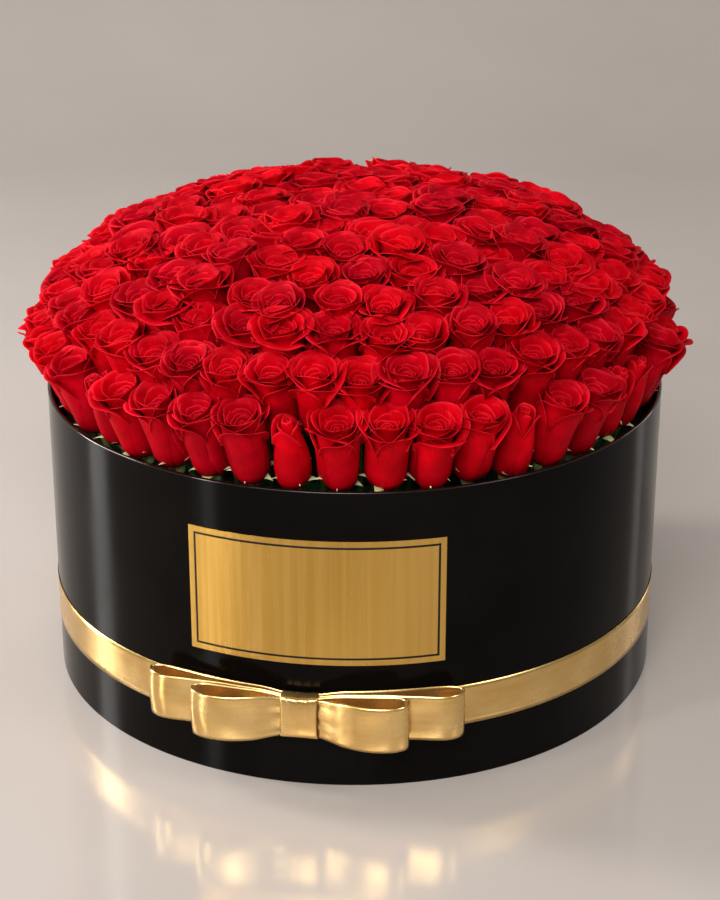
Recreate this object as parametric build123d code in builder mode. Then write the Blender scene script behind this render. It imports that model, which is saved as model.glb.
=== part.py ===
from build123d import *

import os
from math import asin, ceil, cos, floor, hypot, pi, radians, sin, sqrt
from random import Random

# A round hat box filled with a dome of cut roses. Millimetres, +Z up. The origin is on the floor,
# on the axis of the box, and the label faces -Y. Two groups come apart: the box with its label,
# ribbon, bow and false floor, and the arrangement, which lifts out of the box in its own tub.

# The box: a rolled board tube on a board disc, wrapped and lined with laminated paper
box_radius = 300.0
box_height = 289.0
board = 3.0
paper = 0.5
turn_in = 15.0

# The label, a thin metallised plate bent round the wall
label_width = 234.0
label_height = 121.0
label_gap = 29.0
label_thickness = 0.8
adhesive = 0.2
label_margin = 4.0

# The ribbon round the wall, and the bow on it
ribbon_width = 40.0
ribbon_low = 54.0
ribbon_thickness = 0.5
bow_turn = 2.2
bow_rise = 3.0
loop_ribbon_width = 45.0
loop_thickness = 0.8
pinched_width = 34.0
front_loop_reach = 92.0
back_loop_reach = 143.0
front_loop_depth = 22.5
front_loop_rise = 5.5
back_loop_depth = 22.0
gather_overrun = 2.0
gather_depth = 6.0
knot_width = 32.0
knot_height = 42.0
pad_size = 24.0
pad_depth = 1.5
loop_clearance = 0.9

# The false floor: slotted corrugated panels under a deck
corrugated = 5.0
panel_spacing = 180.0
panels_each_way = 3
slot_clearance = 0.3
deck_clearance = 1.0

# The tub and the foam bricks in it
tub_clearance = 3.0
tub_wall = 1.5
tub_freeboard = 18.0
tub_corner = 6.0
brick_length = 230.0
brick_width = 110.0
brick_height = 80.0
brick_gap = 0.5
foam_clearance = 1.5
foam_drop = 52.5
stem_depth = 45.0
stem_clearance = 0.1

# The roses: their open tops lie on a dome whose edge stands out over the rim
dome_overhang = 4.0
dome_over_rim = 34.0
dome_rise = 140.0
outer_ring_overhang = 0.0
edge_lean = 22.0
ring_gap = 7.0
rose_gap = 6.5
place_jitter = 1.3
lift_jitter = 3.0
lean_jitter = 1.2
bud_share = 0.2

head_length = 64.0
head_radius = 18.0
head_seat_radius = 7.0
bud_length = 66.0
bud_radius = 15.0
stem_radius = 2.75
hip_radius = 6.0
hip_length = 11.0
sepal_count = 5
sepal_reach = 13.0
sepal_thickness = 1.2

# Sizes that follow from those above
tube_outer = box_radius - paper
tube_inner = tube_outer - board
lined_radius = tube_inner - paper
floor_top = 2 * paper + board
foam_top = box_height - foam_drop
foam_low = foam_top - brick_height
tub_low = foam_low - tub_wall
deck_low = tub_low - corrugated
riser_height = deck_low - floor_top
tub_outer = lined_radius - tub_clearance
tub_inner = tub_outer - tub_wall
foam_radius = tub_inner - foam_clearance
brick_rows = floor(2 * foam_radius / brick_width)
bricks_each_row = ceil(2 * foam_radius / brick_length)
label_low = ribbon_low + ribbon_width + label_gap
bow_height = ribbon_low + ribbon_width / 2 + bow_rise
dome_radius = box_radius + dome_overhang
dome_low = box_height + dome_over_rim
outer_ring_radius = box_radius + outer_ring_overhang
ring_pitch = 2 * head_radius + ring_gap
rose_pitch = 2 * head_radius + rose_gap
front = -90.0

os.makedirs("parts", exist_ok=True)


def save(piece, name):
    piece.label = name
    export_step(piece, f"parts/{name}.step")


def ring(outer, inner, low, high):
    """A tube on the box's axis between two heights."""
    with BuildPart() as tube:
        with BuildSketch(Plane.XY.offset(low)):
            Circle(outer)
            Circle(inner, mode=Mode.SUBTRACT)
        extrude(amount=high - low)
    return tube.part


def disc(radius, low, high):
    """A disc on the box's axis between two heights."""
    with BuildPart() as plate:
        with BuildSketch(Plane.XY.offset(low)):
            Circle(radius)
        extrude(amount=high - low)
    return plate.part


def wall_point(along, out, turn=0.0):
    """The point that lies along the wall's curve from the front, and out from its surface."""
    angle = radians(front - turn) + along / box_radius
    reach = box_radius + out
    return (reach * cos(angle), reach * sin(angle))


def bent_plate(width, low, high, inside, outside, turn=0.0):
    """A plate bent round the wall, between two distances from the wall's surface."""
    half = width / 2
    with BuildPart() as plate:
        with BuildSketch(Plane.XY.offset(low)):
            with BuildLine():
                start, end = wall_point(-half, outside, turn), wall_point(half, outside, turn)
                ThreePointArc(start, wall_point(0, outside, turn), end)
                inner_end, inner_start = wall_point(half, inside, turn), wall_point(-half, inside, turn)
                Line(end, inner_end)
                ThreePointArc(inner_end, wall_point(0, inside, turn), inner_start)
                Line(inner_start, start)
            make_face()
        extrude(amount=high - low)
    return plate.part


# ---------------------------------------------------------------- the box

def make_box():
    save(ring(tube_outer, tube_inner, paper, box_height - paper), "wall_tube")

    # The wrap turns in over the rim and under the base
    fold = box_radius - turn_in
    turned = box_height - turn_in
    with BuildPart() as wrap:
        with BuildSketch(Plane.XZ):
            with BuildLine():
                Polyline(
                    (fold, 0),
                    (box_radius, 0),
                    (box_radius, box_height),
                    (lined_radius, box_height),
                    (lined_radius, turned),
                    (tube_inner, turned),
                    (tube_inner, box_height - paper),
                    (tube_outer, box_height - paper),
                    (tube_outer, paper),
                    (fold, paper),
                    close=True,
                )
            make_face()
        revolve(axis=Axis.Z)
    save(wrap.part, "outer_wrap")

    save(ring(tube_inner, lined_radius, paper + board, turned), "inner_lining")
    save(disc(tube_inner, paper, paper + board), "base_disc")
    save(disc(fold, 0, paper), "base_cover")
    save(disc(lined_radius, paper + board, floor_top), "floor_lining")


def make_label():
    label_high = label_low + label_height
    edge = label_margin
    tape = bent_plate(label_width - 2 * edge, label_low + edge, label_high - edge, 0, adhesive)
    save(tape, "label_adhesive")
    plate = bent_plate(label_width, label_low, label_high, adhesive, adhesive + label_thickness)
    save(plate, "label_plate")


# ---------------------------------------------------------------- ribbon and bow

def loop_outline(side, reach, seat, flat, crown, bend, inset):
    """The outline of one loop: out beside the wall, round its end and back to the knot."""
    near = knot_width / 2 + inset

    def at(along, out):
        return wall_point(side * along, out, bow_turn)

    root = at(near, seat + inset)
    back = at(reach - bend / 2, flat + inset)
    tip = at(reach - inset, flat + bend / 2)
    front_end = at(reach - bend / 2, flat + bend - inset)
    return_end = at(near, seat + 0.75 * gather_depth - inset)
    with BuildLine() as outline:
        ThreePointArc(root, at(reach / 2, (seat + flat) / 2 + inset), back)
        ThreePointArc(back, tip, front_end)
        ThreePointArc(front_end, at(0.62 * reach, crown - inset), return_end)
        Line(return_end, root)
    return outline.line


def make_loops(name, reach, seat, flat, crown, bend):
    """Two loops of one ribbon, gathered into a flat block at the middle."""
    low = bow_height - loop_ribbon_width / 2
    across = Plane(origin=(0, 0, low), z_dir=(0, 0, 1)).rotated((0, 0, -bow_turn))
    facing = Plane(origin=(0, 0, bow_height), x_dir=(1, 0, 0), z_dir=(0, -1, 0))
    facing = facing.rotated((0, 0, -bow_turn))
    with BuildPart() as loops:
        for side in (-1, 1):
            outer, inner = [
                loop_outline(side, reach, seat, flat, crown, bend, inset) for inset in (0, loop_thickness)
            ]
            with BuildSketch(Plane.XY.offset(low)):
                make_face(outer.edges())
                make_face(inner.edges(), mode=Mode.SUBTRACT)
            extrude(amount=loop_ribbon_width)
        with BuildSketch(across):
            with Locations((0, -(box_radius + seat + gather_depth / 2))):
                Rectangle(knot_width + 2 * gather_overrun, gather_depth)
        extrude(amount=loop_ribbon_width)
        # The ribbon narrows towards the knot, above and below
        for up in (-1, 1):
            with BuildSketch(facing):
                with BuildLine():
                    top, pinch = up * loop_ribbon_width / 2, up * pinched_width / 2
                    wide = 0.42 * reach
                    Polyline(
                        (-wide, top + up),
                        (-wide, top),
                        (-knot_width / 2 - 1, pinch),
                        (knot_width / 2 + 1, pinch),
                        (wide, top),
                        (wide, top + up),
                        close=True,
                    )
                make_face()
            extrude(amount=2 * box_radius, mode=Mode.SUBTRACT)
    save(loops.part, name)


def make_ribbon():
    band = ring(box_radius + ribbon_thickness, box_radius, ribbon_low, ribbon_low + ribbon_width)
    save(band, "ribbon_band")

    pad_in, pad_out = ribbon_thickness, ribbon_thickness + pad_depth
    pad_base = ribbon_low + (ribbon_width - pad_size) / 2
    save(bent_plate(pad_size, pad_base, pad_base + pad_size, pad_in, pad_out, bow_turn), "bow_pad")

    # Outwards from the pad: the knot's back, the back loops, the front loops, the knot's front
    back_seat = pad_out + loop_thickness + loop_clearance
    front_seat = back_seat + gather_depth + loop_clearance
    knot_out = front_seat + gather_depth + loop_clearance + loop_thickness
    make_loops(
        "bow_back_loops",
        back_loop_reach,
        back_seat,
        pad_out,
        back_seat + 0.3 * back_loop_depth,
        back_loop_depth,
    )
    make_loops(
        "bow_front_loops",
        front_loop_reach,
        front_seat,
        front_seat + front_loop_rise,
        front_seat + front_loop_depth,
        front_loop_depth,
    )

    with BuildPart() as knot:
        depth = knot_out - pad_out
        middle = -(box_radius + pad_out + depth / 2)
        facing = Plane(origin=(0, 0, bow_height), x_dir=(0, 1, 0), z_dir=(1, 0, 0))
        with BuildSketch(facing.rotated((0, 0, -bow_turn))):
            with Locations((middle, 0)):
                RectangleRounded(depth, knot_height, depth / 3)
                RectangleRounded(
                    depth - 2 * loop_thickness,
                    knot_height - 2 * loop_thickness,
                    depth / 3 - loop_thickness,
                    mode=Mode.SUBTRACT,
                )
        extrude(amount=knot_width / 2, both=True)
    save(knot.part, "bow_knot")


# ---------------------------------------------------------------- false floor

def make_riser():
    """Panels that cross in half-lap slots, and the deck that they carry."""
    deck_radius = lined_radius - deck_clearance
    places = [(i - (panels_each_way - 1) / 2) * panel_spacing for i in range(panels_each_way)]
    slot = corrugated + 2 * slot_clearance
    for name, turned, slot_height in (("x", 0, riser_height / 2), ("y", 90, 0)):
        for number, place in enumerate(places, 1):
            length = 2 * sqrt(deck_radius**2 - (abs(place) + corrugated) ** 2)
            with BuildPart() as panel:
                with BuildSketch(Plane.XY.offset(floor_top).rotated((0, 0, turned))):
                    with Locations((0, place)):
                        Rectangle(length, corrugated)
                extrude(amount=riser_height)
                with BuildSketch(Plane.XY.offset(floor_top + slot_height).rotated((0, 0, turned))):
                    with Locations(*[(other, place) for other in places]):
                        Rectangle(slot, 2 * corrugated)
                extrude(amount=riser_height / 2, mode=Mode.SUBTRACT)
            save(panel.part, f"riser_panel_{name}{number}")
    save(disc(deck_radius, deck_low, tub_low), "riser_deck")


# ---------------------------------------------------------------- roses

def dome_rings():
    """Each ring's radius and height, at even steps along the dome from its crown to its edge."""
    edge = asin((outer_ring_radius / dome_radius) ** 1.5)
    steps = 600
    turns = [edge * i / steps for i in range(steps + 1)]
    points = [(dome_radius * sin(t) ** (2 / 3), dome_low + dome_rise * cos(t)) for t in turns]
    lengths = [0.0]
    for (r0, z0), (r1, z1) in zip(points, points[1:]):
        lengths.append(lengths[-1] + hypot(r1 - r0, z1 - z0))
    rings = round(lengths[-1] / ring_pitch)
    places = [lengths[-1] * i / rings for i in range(rings + 1)]
    return [points[min(range(steps + 1), key=lambda i: abs(lengths[i] - place))] for place in places]


def place_roses():
    """The planes on which the heads stand, ring by ring, +Z along each stem, with each one's kind."""
    chance = Random(19)
    rings = dome_rings()
    outer_count = round(2 * pi * rings[-1][0] / rose_pitch)
    placed = []
    for number, (radius, height) in enumerate(rings):
        outermost = number == len(rings) - 1
        # The two outer rings stand one over the other's gaps, so they hold as many roses each
        paired = number >= len(rings) - 2
        count = outer_count if paired else max(1, round(2 * pi * radius / rose_pitch))
        phase = 0.5 * outermost if paired else chance.random()
        ring_of_roses = []
        for i in range(count):
            spread = place_jitter if number else 0
            angle = 2 * pi * (i + phase) / count + chance.uniform(-spread, spread) / max(radius, 1)
            lean = radians(edge_lean * radius / dome_radius + chance.uniform(-1, 1) * lean_jitter)
            outward = Vector(cos(angle), sin(angle), 0)
            axis = outward * sin(lean) + Vector(0, 0, cos(lean))
            is_bud = outermost and chance.random() < bud_share
            length = bud_length if is_bud else head_length
            lift = chance.uniform(-lift_jitter, lift_jitter)
            top = outward * radius + Vector(0, 0, height) + axis * lift
            across = Vector(-sin(angle), cos(angle), 0)
            seat = Plane(origin=top - axis * length, x_dir=across, z_dir=axis)
            ring_of_roses.append((seat, is_bud))
        placed.append(ring_of_roses)
    return placed


def turned_profile(points):
    """A solid of revolution about Z, from the half profile's points."""
    with BuildPart() as solid:
        with BuildSketch(Plane.XZ):
            with BuildLine():
                Polyline(*points, close=True)
            make_face()
        revolve(axis=Axis.Z)
    return solid.part


def open_head():
    """The outer shape of an open rose, from its seat on the calyx to its petals' tips."""
    seat = sepal_thickness
    return turned_profile(
        [
            (0, seat),
            (head_seat_radius, seat),
            (0.74 * head_radius, 0.12 * head_length),
            (0.92 * head_radius, 0.29 * head_length),
            (head_radius, 0.55 * head_length),
            (head_radius, 0.75 * head_length),
            (0.88 * head_radius, 0.89 * head_length),
            (0.55 * head_radius, 0.98 * head_length),
            (0, head_length),
        ]
    )


def bud_head():
    """The outer shape of a closed rose."""
    seat = sepal_thickness
    return turned_profile(
        [
            (0, seat),
            (head_seat_radius, seat),
            (0.85 * bud_radius, 0.15 * bud_length),
            (bud_radius, 0.34 * bud_length),
            (0.96 * bud_radius, 0.55 * bud_length),
            (0.72 * bud_radius, 0.82 * bud_length),
            (0.25 * bud_radius, 0.98 * bud_length),
            (0, bud_length),
        ]
    )


def calyx():
    """The green hip under a head, with its sepals spread in a star that the head sits on."""
    with BuildPart() as green:
        with BuildSketch(Plane.XZ):
            with BuildLine():
                Polyline(
                    (0, -hip_length),
                    (stem_radius, -hip_length),
                    (0.8 * hip_radius, -0.8 * hip_length),
                    (hip_radius, -0.45 * hip_length),
                    (0.85 * hip_radius, 0),
                    (0, 0),
                    close=True,
                )
            make_face()
        revolve(axis=Axis.Z)
        with BuildSketch():
            RegularPolygon(0.9 * hip_radius, 2 * sepal_count)
            with PolarLocations(0, sepal_count):
                with BuildLine():
                    Polyline(
                        (0.4 * hip_radius, -0.5 * hip_radius),
                        (0.6 * sepal_reach, -0.35 * hip_radius),
                        (sepal_reach, 0),
                        (0.6 * sepal_reach, 0.35 * hip_radius),
                        (0.4 * hip_radius, 0.5 * hip_radius),
                        close=True,
                    )
                make_face()
        extrude(amount=sepal_thickness)
    return green.part


def stem_length(seat):
    """From the hip down to the stem's cut end in the foam."""
    drop = seat.origin.Z - hip_length * seat.z_dir.Z - (foam_top - stem_depth)
    return drop / seat.z_dir.Z


def stem_tools(roses, radius, overrun):
    """A rod along each stem of the ring, below its hip."""
    with BuildPart() as rods:
        for seat, _ in roses:
            with BuildSketch(seat.offset(-hip_length)):
                Circle(radius)
            extrude(amount=-stem_length(seat) - overrun)
    return rods.part


def copies(piece, seats):
    """One solid of the piece on each seat."""
    with BuildPart() as group:
        with Locations(*seats):
            add(piece)
    return group.part


def make_roses(placed):
    open_piece, bud_piece, green_piece = open_head(), bud_head(), calyx()
    for number, roses in enumerate(placed):
        open_seats = [seat for seat, is_bud in roses if not is_bud]
        bud_seats = [seat for seat, is_bud in roses if is_bud]
        with BuildPart() as heads:
            with Locations(*open_seats):
                add(open_piece)
            if bud_seats:
                with Locations(*bud_seats):
                    add(bud_piece)
        save(heads.part, f"ring_{number}_heads")
        save(copies(green_piece, [seat for seat, _ in roses]), f"ring_{number}_calyxes")
        save(stem_tools(roses, stem_radius, 0), f"ring_{number}_stems")


# ---------------------------------------------------------------- tub and foam

def make_tub():
    with BuildPart() as tub:
        with BuildSketch(Plane.XY.offset(tub_low)):
            Circle(tub_outer)
        extrude(amount=tub_wall + brick_height + tub_freeboard)
        fillet(tub.edges().group_by(Axis.Z)[0], tub_corner)
        offset(amount=-tub_wall, openings=tub.faces().sort_by(Axis.Z)[-1])
    save(tub.part, "liner_tub")


def make_foam(placed):
    """Rows of bricks trimmed to the tub, pierced by the stems."""
    rods = [stem_tools(roses, stem_radius + stem_clearance, 1) for roses in placed]
    for row in range(brick_rows):
        middle = (row - (brick_rows - 1) / 2) * brick_width
        with BuildPart() as bricks:
            with BuildSketch(Plane.XY.offset(foam_low)):
                with Locations((0, middle)):
                    with GridLocations(brick_length, brick_width, bricks_each_row, 1):
                        Rectangle(brick_length - brick_gap, brick_width - brick_gap)
                Circle(foam_radius, mode=Mode.INTERSECT)
            extrude(amount=brick_height)
            chamfer(bricks.edges().group_by(Axis.Z)[0].filter_by(GeomType.CIRCLE), tub_corner)
            for rod_group in rods:
                add(rod_group, mode=Mode.SUBTRACT)
        save(bricks.part, f"foam_row_{row + 1}")


make_box()
make_label()
make_ribbon()
make_riser()
rose_places = place_roses()
make_roses(rose_places)
make_tub()
make_foam(rose_places)
print("roses", sum(len(roses) for roses in rose_places), "rings", [len(roses) for roses in rose_places])
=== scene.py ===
import math

import bpy
import numpy as np
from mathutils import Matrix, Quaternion, Vector


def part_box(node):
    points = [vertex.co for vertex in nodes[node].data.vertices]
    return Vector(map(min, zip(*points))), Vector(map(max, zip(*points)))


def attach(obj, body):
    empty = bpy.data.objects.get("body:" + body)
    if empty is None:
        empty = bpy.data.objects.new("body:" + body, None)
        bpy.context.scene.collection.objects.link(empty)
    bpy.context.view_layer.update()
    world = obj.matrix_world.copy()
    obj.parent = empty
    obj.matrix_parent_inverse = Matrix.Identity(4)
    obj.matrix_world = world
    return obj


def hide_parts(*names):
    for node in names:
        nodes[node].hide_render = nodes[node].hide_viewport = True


# The looks of a round black hat box full of red roses, in metres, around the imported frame.
# The box stands on the floor at the origin with its label towards -Y.
# A route or a length in millimetres is multiplied by MM where it is used.

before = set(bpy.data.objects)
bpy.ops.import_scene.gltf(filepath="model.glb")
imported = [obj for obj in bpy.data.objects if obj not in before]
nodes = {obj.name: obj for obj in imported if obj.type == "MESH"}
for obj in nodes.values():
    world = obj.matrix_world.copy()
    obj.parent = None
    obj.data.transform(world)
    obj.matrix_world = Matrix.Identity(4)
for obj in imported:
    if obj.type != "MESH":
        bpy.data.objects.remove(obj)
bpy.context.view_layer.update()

MM = 0.001

# Camera: its place in box radii before the whole studio turns by the azimuth round the box, its
# downward and sideways angles in radians, and its lens and sensor in millimetres
camera_azimuth = math.radians(7.2)
camera_place = (-0.0358, -6.61, 3.44)
camera_pitch, camera_yaw = 0.3952, 0.008
camera_lens, camera_sensor = 85.88, 36.0


# ------------------------------------------------------------------ reading the frame

def node_points(name):
    mesh = nodes[name].data
    co = np.empty(len(mesh.vertices) * 3)
    mesh.vertices.foreach_get("co", co)
    return co.reshape(-1, 3)


def node_solids(name):
    """The vertices of each separate solid in a node, found by the faces that join them."""
    mesh = nodes[name].data
    points = node_points(name)
    _, same = np.unique(np.round(points, 6), axis=0, return_inverse=True)
    same = same.reshape(-1)
    edges = np.empty(len(mesh.edges) * 2, dtype=np.int64)
    mesh.edges.foreach_get("vertices", edges)
    edges = same[edges.reshape(-1, 2)]
    label = np.arange(same.max() + 1)
    while True:
        low = np.minimum(label[edges[:, 0]], label[edges[:, 1]])
        before = label.copy()
        np.minimum.at(label, edges[:, 0], low)
        np.minimum.at(label, edges[:, 1], low)
        label = label[label]
        if np.array_equal(before, label):
            break
    found = label[same]
    return [points[found == value] for value in np.unique(found)]


def reach_of(name, pick=np.max):
    """The largest distance of a node's points from the box's upright axis, or with np.min the least."""
    points = node_points(name)
    return float(pick(np.hypot(points[:, 0], points[:, 1])))


box_radius = reach_of("outer_wrap")
box_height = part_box("outer_wrap")[1].z
ring_count = sum(1 for name in nodes if name.startswith("ring_") and name.endswith("_heads"))


# ------------------------------------------------------------------ node materials

class Shader:
    """A material with one Principled shader, and short calls for the nodes that feed it."""

    def __init__(self, name, **constants):
        self.material = bpy.data.materials.new(name)
        self.material.use_nodes = True
        self.tree = self.material.node_tree
        self.surface = next(n for n in self.tree.nodes if n.type == "BSDF_PRINCIPLED")
        for socket, value in constants.items():
            self.surface.inputs[socket.replace("_", " ")].default_value = value

    def node(self, kind, inputs=None, **settings):
        made = self.tree.nodes.new(kind)
        for key, value in settings.items():
            setattr(made, key, value)
        inputs = inputs or {}
        self.fill([made.inputs[key] for key in inputs], inputs.values())
        return made

    def link(self, output, socket):
        self.tree.links.new(output, self.surface.inputs[socket])

    def coordinates(self, scale=(1, 1, 1), uv=None):
        source = self.node("ShaderNodeUVMap", uv_map=uv) if uv else self.node("ShaderNodeTexCoord")
        output = source.outputs["UV" if uv else "Object"]
        return self.node("ShaderNodeMapping", {"Vector": output, "Scale": scale}).outputs[0]

    def noise(self, scale, vector, detail=4.0, roughness=0.55):
        values = {"Vector": vector, "Scale": scale, "Detail": detail, "Roughness": roughness}
        return self.node("ShaderNodeTexNoise", values).outputs["Fac"]

    def wave(self, scale, vector, direction):
        values = {"Vector": vector, "Scale": scale, "Distortion": 0.0, "Detail": 1.0}
        return self.node("ShaderNodeTexWave", values, bands_direction=direction).outputs["Fac"]

    def fill(self, sockets, values):
        """Links each value that is another node's output, and sets the others."""
        for socket, value in zip(sockets, values):
            if isinstance(value, bpy.types.NodeSocket):
                self.tree.links.new(value, socket)
            else:
                socket.default_value = value

    def math(self, operation, a, b=0.0):
        made = self.node("ShaderNodeMath", operation=operation)
        self.fill(made.inputs, (a, b))
        return made.outputs[0]

    def spread(self, value, low, high, to_low=0.0, to_high=1.0):
        """Maps low to high smoothly onto to_low to to_high."""
        inputs = {"Value": value, "From Min": low, "From Max": high, "To Min": to_low, "To Max": to_high}
        return self.node("ShaderNodeMapRange", inputs, interpolation_type="SMOOTHSTEP").outputs[0]

    def mix(self, share, a, b):
        made = self.node("ShaderNodeMix", data_type="RGBA")
        # A Mix node's inputs 6 and 7 and its output 2 are the ones for colours
        self.fill((made.inputs[0], made.inputs[6], made.inputs[7]), (share, a, b))
        return made.outputs[2]

    def bump(self, height, strength, distance):
        inputs = {"Height": height, "Strength": strength, "Distance": distance}
        return self.node("ShaderNodeBump", inputs).outputs[0]


def rgb(red, green, blue):
    return (red, green, blue, 1.0)


def petal_material():
    s = Shader(
        "red_rose_petal",
        Specular_IOR_Level=0.03,
        Sheen_Weight=0.06,
        Sheen_Roughness=0.5,
        Sheen_Tint=rgb(1.0, 0.0, 0.01),
    )
    uv = s.node("ShaderNodeUVMap", uv_map="petal").outputs[0]
    split = s.node("ShaderNodeSeparateXYZ", {"Vector": uv}).outputs
    across = s.math("ABSOLUTE", s.math("SUBTRACT", split[0], 0.5))
    up = split[1]
    # lip and side mask the petal's rims, which are painted lighter and pinkish below: a painted highlight on
    # the petal edges
    lip = s.spread(up, 0.965, 1.0)
    side = s.spread(across, 0.475, 0.5)
    edge = s.math("MAXIMUM", lip, side)
    petal_noise = s.noise(38.0, s.coordinates(), 3.0)
    veins = s.noise(1.0, s.coordinates((46.0, 3.5, 1.0), uv="petal"), 3.0, 0.6)
    each = s.node("ShaderNodeObjectInfo").outputs["Random"]

    deep = s.mix(each, rgb(0.31, 0.0, 0.006), rgb(0.48, 0.0, 0.004))
    bright = s.mix(each, rgb(0.50, 0.0, 0.010), rgb(0.75, 0.0, 0.007))
    body = s.mix(s.spread(petal_noise, 0.35, 0.68), deep, bright)
    # Petals darker towards their bases: painted shade for the shadowed crevices low between the petals
    base = s.mix(s.spread(up, 0.15, 0.8), s.mix(0.5, body, rgb(0.20, 0.0, 0.003)), body)
    veined = s.mix(s.spread(veins, 0.38, 0.66, 0.0, 0.25), base, rgb(0.28, 0.0, 0.005))
    # The rims turn lighter and pinkish in patches: painted highlight where light catches the petal edges
    share = s.math("MULTIPLY", edge, s.spread(petal_noise, 0.4, 0.62, 0.12, 0.6))
    petal_color_with_rim_highlight = s.mix(share, veined, rgb(0.80, 0.027, 0.045))
    s.link(petal_color_with_rim_highlight, "Base Color")
    s.link(s.spread(petal_noise, 0.3, 0.7, 0.50, 0.66), "Roughness")
    s.link(s.bump(veins, 0.35, 0.0004), "Normal")
    return s.material


def sepal_material():
    s = Shader("pale_green_sepal", Specular_IOR_Level=0.35, Sheen_Weight=0.15)
    uv = s.node("ShaderNodeUVMap", uv_map="petal").outputs[0]
    split = s.node("ShaderNodeSeparateXYZ", {"Vector": uv}).outputs
    noise = s.noise(120.0, s.coordinates(), 4.0)
    veins = s.noise(1.0, s.coordinates((30.0, 3.0, 1.0), uv="petal"), 3.0)
    green = s.mix(s.spread(noise, 0.35, 0.7), rgb(0.30, 0.40, 0.10), rgb(0.56, 0.56, 0.24))
    tip = s.mix(s.spread(split[1], 0.35, 0.9), green, rgb(0.72, 0.64, 0.40))
    s.link(s.mix(s.spread(veins, 0.4, 0.65, 0.0, 0.35), tip, rgb(0.20, 0.30, 0.07)), "Base Color")
    s.link(s.spread(noise, 0.3, 0.7, 0.45, 0.65), "Roughness")
    s.link(s.bump(veins, 0.4, 0.0003), "Normal")
    return s.material


def stem_material():
    s = Shader("green_stem", Specular_IOR_Level=0.4)
    noise = s.noise(90.0, s.coordinates((1, 1, 0.15)), 5.0)
    s.link(s.mix(s.spread(noise, 0.35, 0.7), rgb(0.06, 0.14, 0.03), rgb(0.16, 0.27, 0.08)), "Base Color")
    s.link(s.spread(noise, 0.3, 0.7, 0.35, 0.6), "Roughness")
    s.link(s.bump(noise, 0.3, 0.0004), "Normal")
    return s.material


def black_laminate(name, gloss):
    """Gloss laminated paper: deep black, a faint cloudiness and the paper's fine unevenness."""
    s = Shader(name, Specular_IOR_Level=gloss)
    fine = s.noise(420.0, s.coordinates(), 3.0)
    broad = s.noise(9.0, s.coordinates(), 3.0)
    color = s.mix(s.spread(broad, 0.3, 0.7), rgb(0.0016, 0.0012, 0.0010), rgb(0.0030, 0.0024, 0.0020))
    s.link(color, "Base Color")
    s.link(s.spread(broad, 0.3, 0.7, 0.13, 0.18), "Roughness")
    s.link(s.bump(fine, 0.05, 0.0002), "Normal")
    return s.material


def paper_material(name, low, high, roughness):
    s = Shader(name, Specular_IOR_Level=0.25)
    fibres = s.noise(260.0, s.coordinates((1, 1, 0.4)), 6.0)
    s.link(s.mix(s.spread(fibres, 0.35, 0.68), low, high), "Base Color")
    s.link(s.spread(fibres, 0.3, 0.7, roughness - 0.06, roughness + 0.06), "Roughness")
    s.link(s.bump(fibres, 0.25, 0.0003), "Normal")
    return s.material


def kraft_board():
    """Corrugated board: kraft liners with the flutes showing faintly through."""
    s = Shader("kraft_corrugated_board", Specular_IOR_Level=0.2)
    fibres = s.noise(180.0, s.coordinates(), 6.0)
    flutes = s.wave(60.0, s.coordinates((1, 1, 0)), "DIAGONAL")
    tone = s.mix(s.spread(fibres, 0.35, 0.7), rgb(0.30, 0.19, 0.10), rgb(0.42, 0.28, 0.16))
    s.link(s.mix(s.math("MULTIPLY", flutes, 0.18), tone, rgb(0.22, 0.13, 0.07)), "Base Color")
    s.link(s.spread(fibres, 0.3, 0.7, 0.72, 0.88), "Roughness")
    s.link(s.bump(flutes, 0.25, 0.0005), "Normal")
    return s.material


def gold_foil():
    """Metallised card, brushed along its length."""
    s = Shader("brushed_gold_foil", Metallic=1.0, Anisotropic=0.6)
    brushed = s.noise(1.0, s.coordinates((160.0, 160.0, 2.5)), 3.0)
    grain = s.noise(1.0, s.coordinates((45.0, 45.0, 1.5)), 2.0)
    clouds = s.noise(7.0, s.coordinates((1, 1, 0.5)), 2.0)
    tone = s.mix(s.spread(clouds, 0.3, 0.7), rgb(0.58, 0.33, 0.065), rgb(0.68, 0.41, 0.095))
    s.link(s.mix(s.spread(brushed, 0.35, 0.7, 0.0, 0.25), tone, rgb(0.86, 0.58, 0.20)), "Base Color")
    s.link(s.spread(grain, 0.3, 0.7, 0.24, 0.32), "Roughness")
    s.link(s.bump(brushed, 0.04, 0.0001), "Normal")
    return s.material


def gold_satin():
    """Metallic satin ribbon: fine weft lines across, long soft warp streaks along."""
    s = Shader("gold_satin_ribbon", Metallic=0.93, Specular_IOR_Level=0.5)
    weft = s.noise(1.0, s.coordinates((350.0, 1500.0, 1.0), uv="ribbon"), 2.0)
    warp = s.noise(1.0, s.coordinates((260.0, 9.0, 1.0), uv="ribbon"), 2.0)
    clouds = s.noise(26.0, s.coordinates(), 3.0)
    tone = s.mix(s.spread(clouds, 0.3, 0.72), rgb(0.70, 0.44, 0.14), rgb(0.82, 0.56, 0.22))
    tone = s.mix(s.spread(warp, 0.35, 0.7, 0.0, 0.16), tone, rgb(0.95, 0.72, 0.36))
    s.link(s.spread(clouds, 0.3, 0.7, 0.21, 0.29), "Roughness")
    tone = s.mix(s.spread(weft, 0.35, 0.7, 0.0, 0.12), tone, rgb(0.50, 0.30, 0.10))
    s.link(tone, "Base Color")
    s.link(s.bump(warp, 0.03, 0.0002), "Normal")
    return s.material


def ink_material():
    s = Shader("black_print", Specular_IOR_Level=0.15)
    grain = s.noise(1200.0, s.coordinates(), 2.0)
    s.link(s.mix(grain, rgb(0.006, 0.005, 0.004), rgb(0.016, 0.013, 0.010)), "Base Color")
    s.link(s.spread(grain, 0.3, 0.7, 0.32, 0.48), "Roughness")
    return s.material


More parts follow.
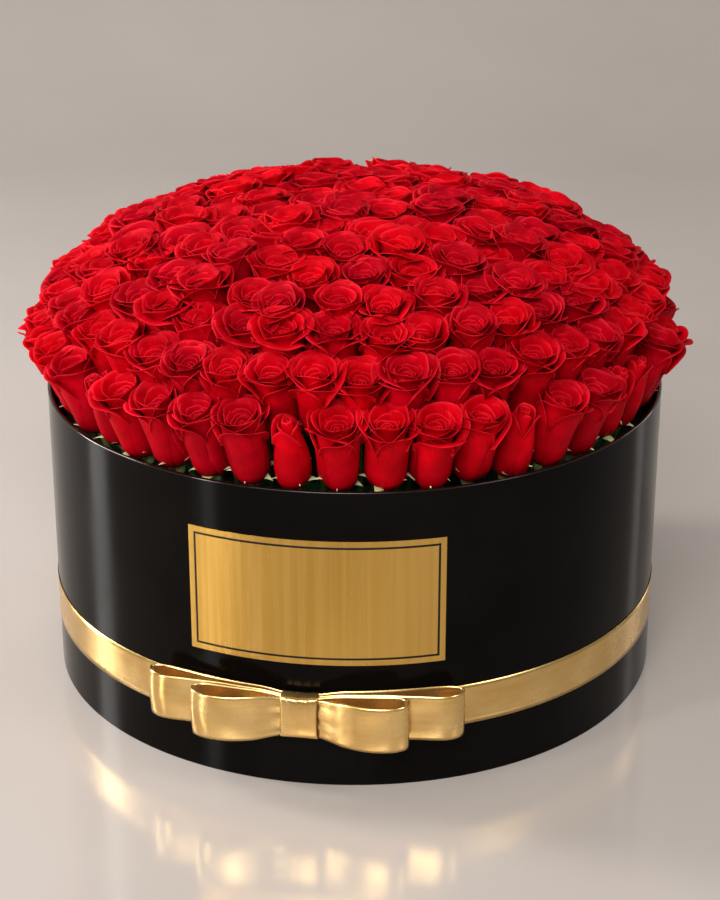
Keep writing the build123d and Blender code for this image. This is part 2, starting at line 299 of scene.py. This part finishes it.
def tub_plastic():
    s = Shader("black_tub_plastic", Specular_IOR_Level=0.5)
    grain = s.noise(300.0, s.coordinates(), 3.0)
    s.link(s.mix(grain, rgb(0.012, 0.012, 0.013), rgb(0.022, 0.022, 0.024)), "Base Color")
    s.link(s.spread(grain, 0.3, 0.7, 0.30, 0.42), "Roughness")
    s.link(s.bump(grain, 0.12, 0.0002), "Normal")
    return s.material


def foam_material():
    s = Shader("wet_floral_foam", Specular_IOR_Level=0.25)
    cells = s.node("ShaderNodeTexVoronoi", {"Vector": s.coordinates(), "Scale": 900.0}).outputs["Distance"]
    broad = s.noise(30.0, s.coordinates(), 4.0)
    s.link(s.mix(s.spread(broad, 0.3, 0.7), rgb(0.02, 0.09, 0.035), rgb(0.05, 0.17, 0.07)), "Base Color")
    s.link(s.spread(broad, 0.3, 0.7, 0.55, 0.8), "Roughness")
    s.link(s.bump(cells, 0.4, 0.0005), "Normal")
    return s.material


def tape_material():
    s = Shader("foam_tape", Specular_IOR_Level=0.3)
    cells = s.noise(700.0, s.coordinates(), 3.0)
    s.link(s.mix(cells, rgb(0.015, 0.014, 0.013), rgb(0.035, 0.033, 0.030)), "Base Color")
    s.link(s.spread(cells, 0.3, 0.7, 0.6, 0.8), "Roughness")
    s.link(s.bump(cells, 0.3, 0.0003), "Normal")
    return s.material


def floor_material():
    """A pale polished surface that mirrors what stands on it, softly."""
    s = Shader("pale_gloss_floor", Specular_IOR_Level=0.9)
    broad = s.noise(1.6, s.coordinates(), 3.0)
    tone = s.mix(s.spread(broad, 0.3, 0.7), rgb(0.485, 0.442, 0.414), rgb(0.515, 0.47, 0.439))
    s.link(tone, "Base Color")
    s.link(s.spread(broad, 0.3, 0.7, 0.10, 0.14), "Roughness")
    return s.material


def set_material(obj, material):
    obj.data.materials.clear()
    obj.data.materials.append(material)


# ------------------------------------------------------------------ sheets as meshes

def grid_normals(grid):
    """The unit normal at each point of a grid, from its neighbours."""
    along = np.gradient(grid, axis=0)
    across = np.gradient(grid, axis=1)
    normal = np.cross(along, across)
    length = np.linalg.norm(normal, axis=2, keepdims=True)
    return normal / np.maximum(length, 1e-12)


def grid_faces(rows, columns, start, flip=False, loop=False):
    """Quads of a grid whose vertices are numbered row by row."""
    faces = []
    for i in range(rows if loop else rows - 1):
        for j in range(columns - 1):
            a, b = start + i * columns + j, start + (i + 1) % rows * columns + j
            quad = (a, a + 1, b + 1, b)
            faces.append(quad[::-1] if flip else quad)
    return faces


def thick_sheet(grid, thickness, start=0, loop=False):
    """Vertices and faces of a closed skin around a grid of points: a front, a back and the edges between.

    With loop, the last row joins the first, as round a band.
    """
    rows, columns = grid.shape[:2]
    if loop:
        wrapped = np.concatenate([grid[-1:], grid, grid[:1]], axis=0)
        normal = grid_normals(wrapped)[1:-1]
    else:
        normal = grid_normals(grid)
    half = np.asarray(thickness)[..., None] / 2 * normal if np.ndim(thickness) else thickness / 2 * normal
    points = np.concatenate([(grid + half).reshape(-1, 3), (grid - half).reshape(-1, 3)])
    size = rows * columns
    faces = grid_faces(rows, columns, start, False, loop)
    faces += grid_faces(rows, columns, start + size, True, loop)
    if loop:
        for column, turn in ((0, False), (columns - 1, True)):
            for i in range(rows):
                a, b = start + i * columns + column, start + (i + 1) % rows * columns + column
                quad = (a, b, b + size, a + size)
                faces.append(quad[::-1] if turn else quad)
    else:
        border = (
            [(0, j) for j in range(columns)]
            + [(i, columns - 1) for i in range(1, rows)]
            + [(rows - 1, j) for j in range(columns - 2, -1, -1)]
            + [(i, 0) for i in range(rows - 2, 0, -1)]
        )
        ring = [start + i * columns + j for i, j in border]
        for a, b in zip(ring, ring[1:] + ring[:1]):
            faces.append((b, a, a + size, b + size))
    return points, faces


class Sheets:
    """Gathers thick sheets into one mesh, with a shading UV map of across and along."""

    def __init__(self):
        self.points, self.faces, self.uvs, self.count = [], [], [], 0

    def add(self, grid, thickness, across, along, loop=False):
        points, faces = thick_sheet(grid, thickness, self.count, loop)
        uv = np.stack(np.broadcast_arrays(across[None, :], along[:, None]), axis=2).reshape(-1, 2)
        self.points.append(points)
        self.faces.extend(faces)
        self.uvs.append(np.concatenate([uv, uv]))
        self.count += len(points)

    def mesh(self, name, uv_name):
        mesh = bpy.data.meshes.new(name)
        points = np.concatenate(self.points)
        mesh.from_pydata(points.tolist(), [], self.faces)
        layer = mesh.uv_layers.new(name=uv_name)
        corners = np.empty(len(mesh.loops), dtype=np.int64)
        mesh.loops.foreach_get("vertex_index", corners)
        layer.data.foreach_set("uv", np.concatenate(self.uvs)[corners].astype(np.float32).reshape(-1))
        mesh.polygons.foreach_set("use_smooth", np.ones(len(mesh.polygons), dtype=bool))
        mesh.update()
        return mesh


def add_object(name, data):
    obj = bpy.data.objects.new(name, data)
    bpy.context.scene.collection.objects.link(obj)
    return obj


def add_piece(name, mesh, material, body, replaced=()):
    """A piece that rides on a body, gets the material if its mesh has none, and hides the replaced nodes that
    it stands for.
    """
    obj = add_object(name, mesh)
    if not mesh.materials:
        mesh.materials.append(material)
    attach(obj, body)
    if replaced:
        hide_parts(*replaced)
    return obj


# ------------------------------------------------------------------ roses

def smooth(value):
    """Eases from 0 to 1 as value goes from 0 to 1, and stays there outside."""
    value = np.clip(value, 0, 1)
    return value * value * (3 - 2 * value)


def petal_grid(
    rng, azimuth, shell, wrap, low, height, lean, close, lip, curl_sides, peel, point, shoulder, shape
):
    """A petal's points, rows from its base to its lip and columns across it.

    shell is its distance from the axis at mid height, wrap its half width as an angle, low and height
    its ends along the axis, lean and close the slopes of its wall and of its top in radians, lip the
    angle through which its edge rolls out, curl_sides how much more the shoulders roll than the
    middle, peel how far its sides stand off, point how far the middle rises above the shoulders, and
    shoulder how much its corners are rounded off.
    """
    rows, columns = shape
    along = np.concatenate([np.linspace(0, 0.7, rows - 5)[:-1], np.linspace(0.7, 1, 6)])
    across = np.linspace(-1, 1, columns)
    v, u = along[:, None], across[None, :]
    wobble = rng.uniform(0, 2 * math.pi, 4)
    slope = lean * (1 - smooth(v / 0.36)) + close * smooth((v - 0.35) / 0.4)
    roll = lip * (1 - curl_sides + curl_sides * np.abs(u) ** 1.6) * (1 + 0.28 * np.sin(3.1 * u + wobble[0]))
    begin = rng.uniform(0.76, 0.84)
    slope = slope + roll * smooth((v - begin) / (1 - begin)) ** 1.3
    outline = 1 - point * u**2 - shoulder * u**6 + 0.014 * np.sin(5 * u + wobble[1])
    step = np.diff(along, prepend=0)[:, None] * height * outline
    radial = np.cumsum(np.sin(slope) * step, axis=0)
    rise = np.cumsum(np.cos(slope) * step, axis=0)
    middle = int(rows * 0.45)
    radial = radial - radial[middle : middle + 1, columns // 2 : columns // 2 + 1]
    width = 0.62 + 0.38 * smooth(v / 0.5)
    theta = azimuth + wrap * u * width
    ripple = 0.5 * MM * np.sin(3.2 * u + 5 * v + wobble[2]) * v
    ripple = ripple + (0.25 * MM + 0.12 * lip * MM) * np.sin(8 * u + wobble[3]) * v**4
    radius = np.maximum(shell + radial + peel * np.abs(u) ** 3 * v**0.9 + ripple, 0.35 * MM)
    return np.stack([radius * np.cos(theta), radius * np.sin(theta), low + rise], axis=2), across, along


# Petals grow one after another round a rose, each turned by this angle from the one before
golden_angle = math.pi * (3 - math.sqrt(5))
heart_radius = 1.5 * MM
open_petals, bud_petals, sepals_each = 22, 14, 5
# Rose shapes from the least open to the most open, and how many of them stand in which rings: the heads
# at the edge are the less open ones, which keeps the arrangement's outline tight
shapes = 14
shapes_inside, shapes_next_to_edge, shapes_at_edge = (round(part * shapes) for part in (0.8, 0.5, 0.4))


def rose_mesh(name, seed, length, openness):
    """A rose head on its seat, +Z up: a tight spiral heart, then cups, then outer petals with rolled lips."""
    rng = np.random.default_rng(seed)
    sheets = Sheets()
    turn = rng.uniform(0, 2 * math.pi)
    barrel = (19.2 + 0.8 * openness) * MM
    for i in range(open_petals):
        share = i / (open_petals - 1)
        inner, outer = smooth(1 - share / 0.34), smooth((share - 0.5) / 0.5)
        azimuth = turn + i * golden_angle + rng.uniform(-0.12, 0.12)
        shell = (heart_radius + (barrel - heart_radius) * share**0.85) * rng.uniform(0.985, 1.015)
        wrap = 1.95 - 0.74 * share**0.7 + rng.uniform(-0.08, 0.08)
        top = length * (0.905 + 0.075 * smooth(share / 0.55) - 0.035 * outer) * rng.uniform(0.98, 1.015)
        deep = smooth((share - 0.35) / 0.3)
        low = 0.42 * length * (1 - deep) + 0.3 * MM
        lean = 0.03 + rng.uniform(1.18, 1.34) * deep * (shell / barrel)
        close = -0.06 - 0.10 * inner + (0.10 + 0.12 * openness) * outer
        lip = 0.25 + (0.45 + 0.95 * openness) * smooth((share - 0.08) / 0.92) * rng.uniform(0.7, 1.35)
        curl_sides = 0.12 + 0.15 * outer * rng.uniform(0.3, 1.4)
        peel = (0.2 + outer * rng.uniform(0.2, 0.7)) * MM
        point = 0.03 + 0.05 * outer * rng.uniform(0.3, 1.6)
        slack = lip * 0.08 + 0.02 + 0.15 * deep
        shape = (9, 13) if share < 0.4 else (12, 15)
        grid, across, along = petal_grid(
            rng, azimuth, shell, wrap, low, (top - low) * (1 + slack), lean, close, lip,
            curl_sides, peel, point, 0.10 + 0.14 * outer, shape,
        )
        thin = 0.22 * MM + 0.28 * MM * (1 - along[:, None] ** 3) * (1 - np.abs(across[None, :]) ** 6)
        sheets.add(grid, thin, across / 2 + 0.5, along)
    return sheets.mesh(name, "petal")


def bud_mesh(name, seed, length):
    """A rose that is barely open: petals wrapped to a point, the outer ones just starting to turn back."""
    rng = np.random.default_rng(seed)
    sheets = Sheets()
    turn = rng.uniform(0, 2 * math.pi)
    for i in range(bud_petals):
        share = i / (bud_petals - 1)
        outer = smooth((share - 0.6) / 0.4)
        azimuth = turn + i * golden_angle
        shell = (2.0 + 14.0 * share**0.8) * MM
        wrap = 1.9 - 0.75 * share
        top = length * (1.0 - 0.10 * share)
        low = 0.5 * length * (1 - smooth(share / 0.6)) + 0.6 * MM
        lean = 1.25 * share
        close = -0.42 * (shell / (16 * MM)) + 0.18 * outer
        lip = (0.15 + 0.85 * outer) * rng.uniform(0.7, 1.2)
        grid, across, along = petal_grid(
            rng, azimuth, shell, wrap, low, (top - low) * (1.06 + 0.1 * share), lean, close, lip,
            0.3 + 0.3 * outer, 0.5 * MM * outer, 0.10 + 0.10 * share, 0.09, (12, 15),
        )
        sheets.add(grid, 0.45 * MM, across / 2 + 0.5, along)
    return sheets.mesh(name, "petal")


def calyx_mesh(name, seed, hip_length, spread):
    """The hip under a rose and its five sepals; spread is how far down they have folded, in radians."""
    rng = np.random.default_rng(seed)
    sheets = Sheets()
    sides = 16
    turns = np.linspace(0, 2 * math.pi, sides, endpoint=False)[:, None]
    # Radius in millimetres, and height as a share of the hip's length
    profile = [(2.7, -1.0), (3.6, -0.86), (5.3, -0.6), (6.2, -0.3), (6.3, -0.08), (5.0, 0.03)]
    radius = np.array([p[0] for p in profile])[None, :] * MM
    height = np.array([p[1] for p in profile])[None, :] * hip_length
    hip = np.stack(np.broadcast_arrays(radius * np.cos(turns), radius * np.sin(turns), height), axis=2)
    sheets.add(hip, 0.6 * MM, np.linspace(0, 0.4, len(profile)), np.linspace(0, 0.4, sides), loop=True)
    for i in range(sepals_each):
        angle = 2 * math.pi * i / sepals_each + rng.uniform(-0.2, 0.2)
        length = rng.uniform(18, 24) * MM
        half = rng.uniform(4.4, 6.0) * MM
        down = spread + rng.uniform(-0.45, 0.45)
        along = np.linspace(0, 1, 9)
        across = np.linspace(-1, 1, 5)
        v, u = along[:, None], across[None, :]
        slope = math.pi / 2 * 0.75 - 0.75 + down * v**1.2 + 0.35 * np.sin(2.2 * v + i)
        step = length / (len(along) - 1)
        out = 4.6 * MM + np.cumsum(np.sin(slope) * step, axis=0)
        rise = 0.4 * MM + np.cumsum(np.cos(slope) * step, axis=0)
        belly = 0.35 + 0.65 * np.sin(math.pi * np.minimum(v + 0.18, 1) ** 0.8)
        width = half * belly * (1 - v**3) + 0.15 * MM
        twist = rng.uniform(-0.5, 0.5) * v
        side = u * width
        out_all = out + 0 * side - 0.15 * np.abs(side)
        lift = rise + side * np.sin(twist) - 0.25 * np.abs(side)
        x = out_all * math.cos(angle) - side * math.sin(angle)
        y = out_all * math.sin(angle) + side * math.cos(angle)
        sheets.add(np.stack([x, y, lift + 0 * x], axis=2), 0.35 * MM, across / 2 + 0.5, along)
    return sheets.mesh(name, "petal")


def rose_frames():
    """Each rose's seat, axis, hip height, head length and head reach, ring by ring, read from its solids in
    the frame.
    """
    rings = []
    for number in range(ring_count):
        heads = node_solids(f"ring_{number}_heads")
        centres = np.array([h.mean(axis=0) for h in heads])
        roses = []
        for stem in node_solids(f"ring_{number}_stems"):
            middle = stem.mean(axis=0)
            upper = stem[stem[:, 2] > middle[2]].mean(axis=0)
            lower = stem[stem[:, 2] <= middle[2]].mean(axis=0)
            axis = (upper - lower) / np.linalg.norm(upper - lower)
            offset = centres - upper
            off_axis = np.linalg.norm(offset - (offset @ axis)[:, None] * axis, axis=1)
            head = heads[int(off_axis.argmin())]
            heights = (head - upper) @ axis
            reach = np.linalg.norm((head - upper) - heights[:, None] * axis, axis=1).max()
            roses.append(
                {
                    "seat": upper + axis * heights.min(),
                    "axis": axis,
                    "hip": float(heights.min()),
                    "length": float(heights.max() - heights.min()),
                    "radius": float(reach),
                }
            )
        roses.sort(key=lambda r: math.atan2(r["seat"][1], r["seat"][0]))
        rings.append(roses)
    return rings


def stand_on(obj, seat, axis, turn, scale):
    """Stands a piece that was made +Z up on a seat, along an axis and turned about it."""
    up = Vector((0, 0, 1))
    obj.rotation_mode = "QUATERNION"
    obj.rotation_quaternion = up.rotation_difference(Vector(axis)) @ Quaternion(up, turn)
    obj.location = Vector(seat)
    obj.scale = scale


def rose_meshes(every):
    """The open roses from least to most open, the buds and the calyxes that all the roses share."""
    open_length = float(np.median([rose["length"] for rose in every]))
    bud_length = max(rose["length"] for rose in every)
    hip = float(np.median([rose["hip"] for rose in every]))
    openness = [0.15 + 0.85 * i / (shapes - 1) for i in range(shapes_inside)]
    opened = [rose_mesh(f"open_rose_{i}", 100 + i, open_length, wide) for i, wide in enumerate(openness)]
    buds = [bud_mesh(f"rose_bud_{i}", 300 + i, bud_length) for i in range(3)]
    calyxes = [calyx_mesh(f"rose_calyx_{i}", 500 + i, hip, 0.5 + 0.35 * i) for i in range(4)]
    return opened, buds, calyxes


def make_roses():
    rng = np.random.default_rng(5)
    rings = rose_frames()
    every = [rose for ring in rings for rose in ring]
    widest = max(rose["radius"] for rose in every)
    opened, buds, calyxes = rose_meshes(every)
    petals, sepals = petal_material(), sepal_material()
    for number, roses in enumerate(rings):
        outermost = number == ring_count - 1
        inner = number < ring_count - 2
        most_open = shapes_at_edge if outermost else shapes_inside if inner else shapes_next_to_edge
        inset = (0.0 if inner else 3.5) * MM
        for index, rose in enumerate(roses):
            is_bud = rose["radius"] < 0.92 * widest
            kinds = buds if is_bud else opened[:most_open]
            mesh = kinds[int(rng.integers(len(kinds)))]
            wide = rng.uniform(0.93, 1.08) if inner else rng.uniform(0.97, 1.04)
            turn = rng.uniform(0, 2 * math.pi)
            # The outermost heads sink a little further, so that their round bases rest at the rim, and
            # the inner ones stand at uneven heights
            sunk = (7.5 if outermost else rng.uniform(0.0, 7.0) if inner else 2.0) * MM
            outward = np.array([rose["axis"][0], rose["axis"][1], 0.0])
            outward /= max(np.linalg.norm(outward), 1e-9)
            seat = rose["seat"] - rose["axis"] * sunk - outward * inset
            stretch = 1.0 if inner else (rose["length"] + sunk) / rose["length"]
            scale = (wide, wide, stretch * rng.uniform(0.98, 1.02))
            axis = rose["axis"] + rng.normal(0, 0.07 if inner else 0.0, 3)
            axis /= np.linalg.norm(axis)
            green = calyxes[int(rng.integers(len(calyxes)))]
            for kind, mesh, material, slot, node, size in (
                ("rose", mesh, petals, "red_petals", "heads", scale),
                ("calyx", green, sepals, "green_sepals", "calyxes", (1, 1, 1)),
            ):
                name, replaced = f"{kind}_{number}_{index:02d}", [f"ring_{number}_{node}"]
                piece = add_piece(name, mesh, material, "arrangement", replaced)
                stand_on(piece, seat, axis, turn, size)


# ------------------------------------------------------------------ ribbon, bow and label

def on_wall(along, out, height, turn=0.0):
    """Points at a distance along the wall's curve from the front, out from it, and above the floor."""
    angle = -math.pi / 2 - turn + along / box_radius
    reach = box_radius + out
    return np.stack(np.broadcast_arrays(reach * np.cos(angle), reach * np.sin(angle), height), axis=-1)


def curve_through(points, count):
    """Evenly spaced points on a smooth curve through the given ones."""
    points = np.asarray(points, dtype=float)
    before, after = 2 * points[:1] - points[1:2], 2 * points[-1:] - points[-2:-1]
    padded = np.concatenate([before, points, after])
    fine = []
    for i in range(len(points) - 1):
        p0, p1, p2, p3 = padded[i : i + 4]
        for t in np.linspace(0, 1, 24, endpoint=False):
            fine.append(
                0.5 * (2 * p1 + (p2 - p0) * t + (2 * p0 - 5 * p1 + 4 * p2 - p3) * t**2
                       + (3 * p1 - p0 - 3 * p2 + p3) * t**3)
            )
    fine.append(points[-1])
    fine = np.array(fine)
    length = np.concatenate([[0], np.cumsum(np.linalg.norm(np.diff(fine[:, :2], axis=0), axis=1))])
    even = np.linspace(0, length[-1], count)
    return np.stack([np.interp(even, length, fine[:, k]) for k in range(fine.shape[1])], axis=1), length[-1]


ribbon_low, ribbon_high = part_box("ribbon_band")[0].z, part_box("ribbon_band")[1].z
bow_low, bow_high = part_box("bow_knot")[0].z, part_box("bow_knot")[1].z
bow_centre = (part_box("bow_knot")[0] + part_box("bow_knot")[1]) / 2
# How far the bow stands round the wall from the front
bow_turn = math.atan2(-bow_centre.x, -bow_centre.y)
bow_middle = (bow_low + bow_high) / 2
knot_front = math.hypot(*min(node_points("bow_knot"), key=lambda p: p[1])[:2]) - box_radius
loop_half_width, loop_thickness = 22.0 * MM, 0.55 * MM


def add_ribbon(name, sheets, satin, node):
    """A ribbon piece that rides on the box and stands for the replaced node, which it hides."""
    piece = add_piece(name, sheets.mesh(name, "ribbon"), satin, "box", [node])


def make_ribbon_band(satin):
    """The ribbon round the wall, with raised selvedges and a slight drift up and down."""
    rows, columns = 360, 9
    thickness = 0.42 * MM
    along = np.linspace(0, 2 * math.pi * box_radius, rows, endpoint=False)
    across = np.linspace(0, 1, columns)
    selvedge = 0.12 * MM * (np.abs(across - 0.5) > 0.44)
    out = 0.30 * MM + selvedge[None, :] + 0.10 * MM * np.sin(along / 0.041)[:, None] ** 2
    drift = 0.35 * MM * np.sin(3 * along / box_radius)[:, None]
    height = ribbon_low + (ribbon_high - ribbon_low) * across[None, :] + drift
    grid = on_wall(along[:, None] + 0 * out, out, height)
    sheets = Sheets()
    width = ribbon_high - ribbon_low
    sheets.add(grid, thickness, across * width, along, loop=True)
    add_ribbon("ribbon_round_box", sheets, satin, "ribbon_band")


def loop_strip(side, route, sag, seed):
    """One loop of ribbon. route holds (along, out) in millimetres from the knot, out and round and back."""
    rng = np.random.default_rng(seed)
    path, length = curve_through(np.array(route, dtype=float) * MM, 120)
    share = np.linspace(0, 1, len(path))[:, None]
    across = np.linspace(-1, 1, 15)[None, :]
    near = smooth(1 - path[:, :1] / (42 * MM))
    front = smooth((share - 0.45) / 0.25)
    width = loop_half_width * (1 - 0.2 * near)
    wide_pleats = 0.9 * MM * np.sin(8.5 * across + rng.uniform(0, 6))
    pleat = near * (wide_pleats + 0.5 * MM * np.sin(15 * across + 1.3))
    bulge = (1 - near) * 0.9 * MM * (1 - across**2) * np.where(share > 0.5, 1, -1)
    ripple = 0.5 * MM * np.sin(3 * across + 9 * share + rng.uniform(0, 6)) * (1 - near)
    along = side * (path[:, :1] + 0 * across)
    out = path[:, 1:2] + pleat * (0.35 + 0.65 * front) + bulge + ripple
    droop = sag * smooth(path[:, :1] / (95 * MM)) * (0.3 + 0.7 * front)
    height = bow_middle + across * width - droop
    grid = on_wall(along, out, height, bow_turn)
    if side > 0:
        grid = grid[:, ::-1]
    return grid, across[0] * loop_half_width, share[:, 0] * length, length


def make_bow_loops(satin):
    """A front and a back pair of loops, each pair one ribbon that is gathered under the knot."""
    front_route = [
        (9, 12.4), (28, 12.4), (54, 13.6), (76, 16.0), (87, 19.4), (91.5, 26.6),
        (87, 33.8), (75, 36.8), (56, 33.8), (38, 26.0), (25, 19.2), (15, 15.8), (9, 15.2),
    ]
    back_route = [
        (9, 5.2), (40, 3.6), (82, 3.0), (116, 4.0), (135, 7.6), (142, 14.5),
        (136, 21.6), (123, 23.4), (100, 16.4), (70, 9.8), (36, 8.8), (9, 8.4),
    ]
    for kind, route in (("front", front_route), ("back", back_route)):
        sheets = Sheets()
        for side, sag in ((-1, 0.36 * MM), (1, 0.5 * MM)):
            grid, across, along, length = loop_strip(side, route, sag, 40 + side)
            sheets.add(grid, loop_thickness, across, along)
        add_ribbon(f"bow_{kind}_ribbon", sheets, satin, f"bow_{kind}_loops")


def make_bow_knot(satin):
    """A short band folded round the gathered middle, its pleats crossing it lengthways."""
    rows = 96
    half_wide, half_tall = 16.0 * MM, (bow_high - bow_low) / 2
    back_out = 2.2 * MM
    depth = knot_front - back_out
    turns = np.linspace(0, 2 * math.pi, rows, endpoint=False)[:, None]
    across = np.linspace(-1, 1, 21)[None, :]
    # Below 1, the power turns the band's oval section into a box with rounded corners
    power = 0.42
    cos_t, sin_t = np.cos(turns), np.sin(turns)
    out = back_out + (depth + 0.6 * MM) / 2 * (1 + np.sign(cos_t) * np.abs(cos_t) ** power)
    waist = 1 - 0.05 * (1 - across**2)
    height = bow_middle + half_tall * waist * np.sign(sin_t) * np.abs(sin_t) ** power
    facing = smooth((cos_t + 0.2) / 0.8)
    top = smooth((sin_t - 0.3) / 0.6)
    gathers = 0.5 * MM * np.sin(11 * across + 0.6) + 0.3 * MM * np.sin(23 * across + 2.0)
    out = out + facing * (0.9 * MM * (1 - across**2) + gathers * (0.12 + 0.45 * top))
    height = height + 0.5 * gathers * top
    wide = half_wide * (1 - 0.05 * facing * (1 - np.abs(sin_t)))
    grid = on_wall(across * wide, out, height, bow_turn)
    sheets = Sheets()
    around = 2 * (depth + 2 * half_tall)
    sheets.add(grid, loop_thickness, across[0] * half_wide, np.linspace(0, around, rows), loop=True)
    add_ribbon("bow_knot_ribbon", sheets, satin, "bow_knot")


def make_label_border(ink):
    """The printed frame line on the label, standing off it by the ink's thickness."""
    low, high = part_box("label_plate")
    out = reach_of("label_plate") - box_radius
    half = box_radius * math.asin(high.x / (box_radius + out / 2))
    inset, line = 5.5 * MM, 2.0 * MM
    ink_thickness = 0.06 * MM
    lift = out + 0.04 * MM
    sheets = Sheets()
    left, right = -half + inset, half - inset
    bottom, top = low.z + inset, high.z - inset
    columns = np.linspace(left, right, 60)
    for edge in (bottom, top - line):
        heights = np.array([edge, edge + line])
        grid = on_wall(columns[:, None], lift, heights[None, :])
        sheets.add(grid, ink_thickness, heights, columns)
    for edge in (left, right - line):
        across = np.array([edge, edge + line])
        heights = np.linspace(bottom + line, top - line, 20)
        grid = on_wall(across[None, :], lift, heights[:, None])
        sheets.add(grid, ink_thickness, across, heights)
    add_piece("label_frame_line", sheets.mesh("label_frame_line", "print"), ink, "box")


def make_rim_fold():
    """The wrap's rounded fold over the board at the rim, which catches the light as a thin line."""
    inner = reach_of("inner_lining", np.min)
    turns = np.linspace(0, 2 * math.pi, 240, endpoint=False)[:, None]
    across = np.linspace(-1, 1, 9)[None, :]
    reach = (inner + box_radius) / 2 + (box_radius - inner) / 2 * across
    height = box_height - 0.1 * MM + 1.1 * MM * (1 - np.abs(across) ** 2.5)
    grid = np.stack(np.broadcast_arrays(reach * np.cos(turns), reach * np.sin(turns), height), axis=-1)
    sheets = Sheets()
    sheets.add(grid, 0.3 * MM, across[0] * 2 * MM, turns[:, 0] * box_radius, loop=True)
    fold = black_laminate("black_folded_rim", 0.6)
    add_piece("rim_fold", sheets.mesh("rim_fold", "print"), fold, "box")


# ------------------------------------------------------------------ CAD nodes that stay

def dress_cad():
    """Gives each CAD node that stays visible its material."""
    laminate = black_laminate("black_gloss_laminate", 0.065)
    lining = paper_material("black_lining_paper", rgb(0.008, 0.008, 0.008), rgb(0.018, 0.017, 0.016), 0.6)
    greyboard = paper_material("greyboard", rgb(0.24, 0.22, 0.20), rgb(0.36, 0.34, 0.31), 0.85)
    kraft, foil, tape = kraft_board(), gold_foil(), tape_material()
    foam, tub, stem = foam_material(), tub_plastic(), stem_material()
    chosen = {
        "outer_wrap": laminate,
        "base_cover": laminate,
        "inner_lining": lining,
        "floor_lining": lining,
        "wall_tube": greyboard,
        "base_disc": greyboard,
        "label_plate": foil,
        "label_adhesive": tape,
        "bow_pad": tape,
        "liner_tub": tub,
    }
    for name in nodes:
        if name.startswith("riser_"):
            chosen[name] = kraft
        elif name.startswith("foam_"):
            chosen[name] = foam
        elif name.endswith("_stems"):
            chosen[name] = stem
    for name, material in chosen.items():
        set_material(nodes[name], material)


# ------------------------------------------------------------------ studio

def turned(x, y, z):
    """A place in the studio, which turns with the camera round the box."""
    c, s = math.cos(camera_azimuth), math.sin(camera_azimuth)
    return Vector((x * c - y * s, x * s + y * c, z))


def make_stage():
    """Floor that sweeps up into a backdrop."""
    reach, depth, rise, bend = 6.0, 3.2, 4.2, 1.4
    profile = [(-reach, 0.0), (-2.0, 0.0), (0.0, 0.0), (depth - bend, 0.0)]
    for t in np.linspace(0, math.pi / 2, 14)[1:]:
        profile.append((depth - bend + bend * math.sin(t), bend - bend * math.cos(t)))
    profile.append((depth, rise))
    columns = np.linspace(-reach, reach, 9)
    points = [(x, y, z) for y, z in profile for x in columns]
    mesh = bpy.data.meshes.new("studio_sweep")
    mesh.from_pydata(points, [], grid_faces(len(profile), len(columns), 0))
    mesh.polygons.foreach_set("use_smooth", np.ones(len(mesh.polygons), dtype=bool))
    sweep = add_object("studio_sweep", mesh)
    mesh.materials.append(floor_material())
    sweep.rotation_euler = (0, 0, camera_azimuth)


def area_light(name, place, target, size, watts, color=(1.0, 0.97, 0.94)):
    """A rectangular light at a place in the studio, aimed at a target."""
    data = bpy.data.lights.new(name, "AREA")
    data.shape = "RECTANGLE"
    data.size, data.size_y = size
    data.energy = watts
    data.color = color
    light = add_object(name, data)
    light.location = turned(*place)
    aim = Vector(target) - light.location
    light.rotation_euler = aim.to_track_quat("-Z", "Y").to_euler()


def make_lights():
    """A soft key overhead, tall strips that the gloss wall mirrors at its sides, and fills."""
    world = bpy.data.worlds.new("studio")
    world.use_nodes = True
    background = next(n for n in world.node_tree.nodes if n.type == "BACKGROUND")
    background.inputs["Color"].default_value = rgb(1.0, 0.97, 0.94)
    background.inputs["Strength"].default_value = 0.24
    bpy.context.scene.world = world
    area_light("key_overhead", (-0.6, -2.3, 2.15), (0, 0.0, 0.3), (2.2, 1.6), 32, (1.0, 0.98, 0.95))
    area_light("strip_left", (-2.2, -1.7, 0.9), (0, 0, 0.2), (0.22, 1.9), 32)
    area_light("strip_far_left", (-1.95, 0.45, 0.95), (0, 0, 0.2), (0.36, 1.9), 47)
    area_light("strip_far_right", (2.1, 1.5, 0.9), (0, 0, 0.2), (0.3, 1.8), 6)
    area_light("front_card", (-0.5, -2.9, 2.5), (0, 0, 0.25), (1.4, 1.0), 53)
    area_light("fill_right", (2.2, -1.5, 2.3), (0, 0, 0.3), (1.0, 1.0), 22)
    area_light("backdrop_wash", (-1.6, 0.9, 2.2), (-0.9, 3.0, 0.9), (1.2, 1.2), 16, (1.0, 0.97, 0.95))


# ------------------------------------------------------------------ camera

def make_camera():
    data = bpy.data.cameras.new("camera")
    data.sensor_width, data.lens = camera_sensor, camera_lens
    camera = add_object("camera", data)
    camera.location = turned(*(part * box_radius for part in camera_place))
    ahead = turned(math.sin(camera_yaw), math.cos(camera_yaw), -math.tan(camera_pitch))
    camera.rotation_euler = ahead.to_track_quat("-Z", "Y").to_euler()
    bpy.context.scene.camera = camera


make_camera()
make_stage()
make_lights()
dress_cad()
make_label_border(ink_material())
make_rim_fold()
satin = gold_satin()
make_ribbon_band(satin)
make_bow_loops(satin)
make_bow_knot(satin)
make_roses()

bpy.context.scene.view_settings.view_transform = "Standard"
bpy.context.scene.view_settings.look = "None"
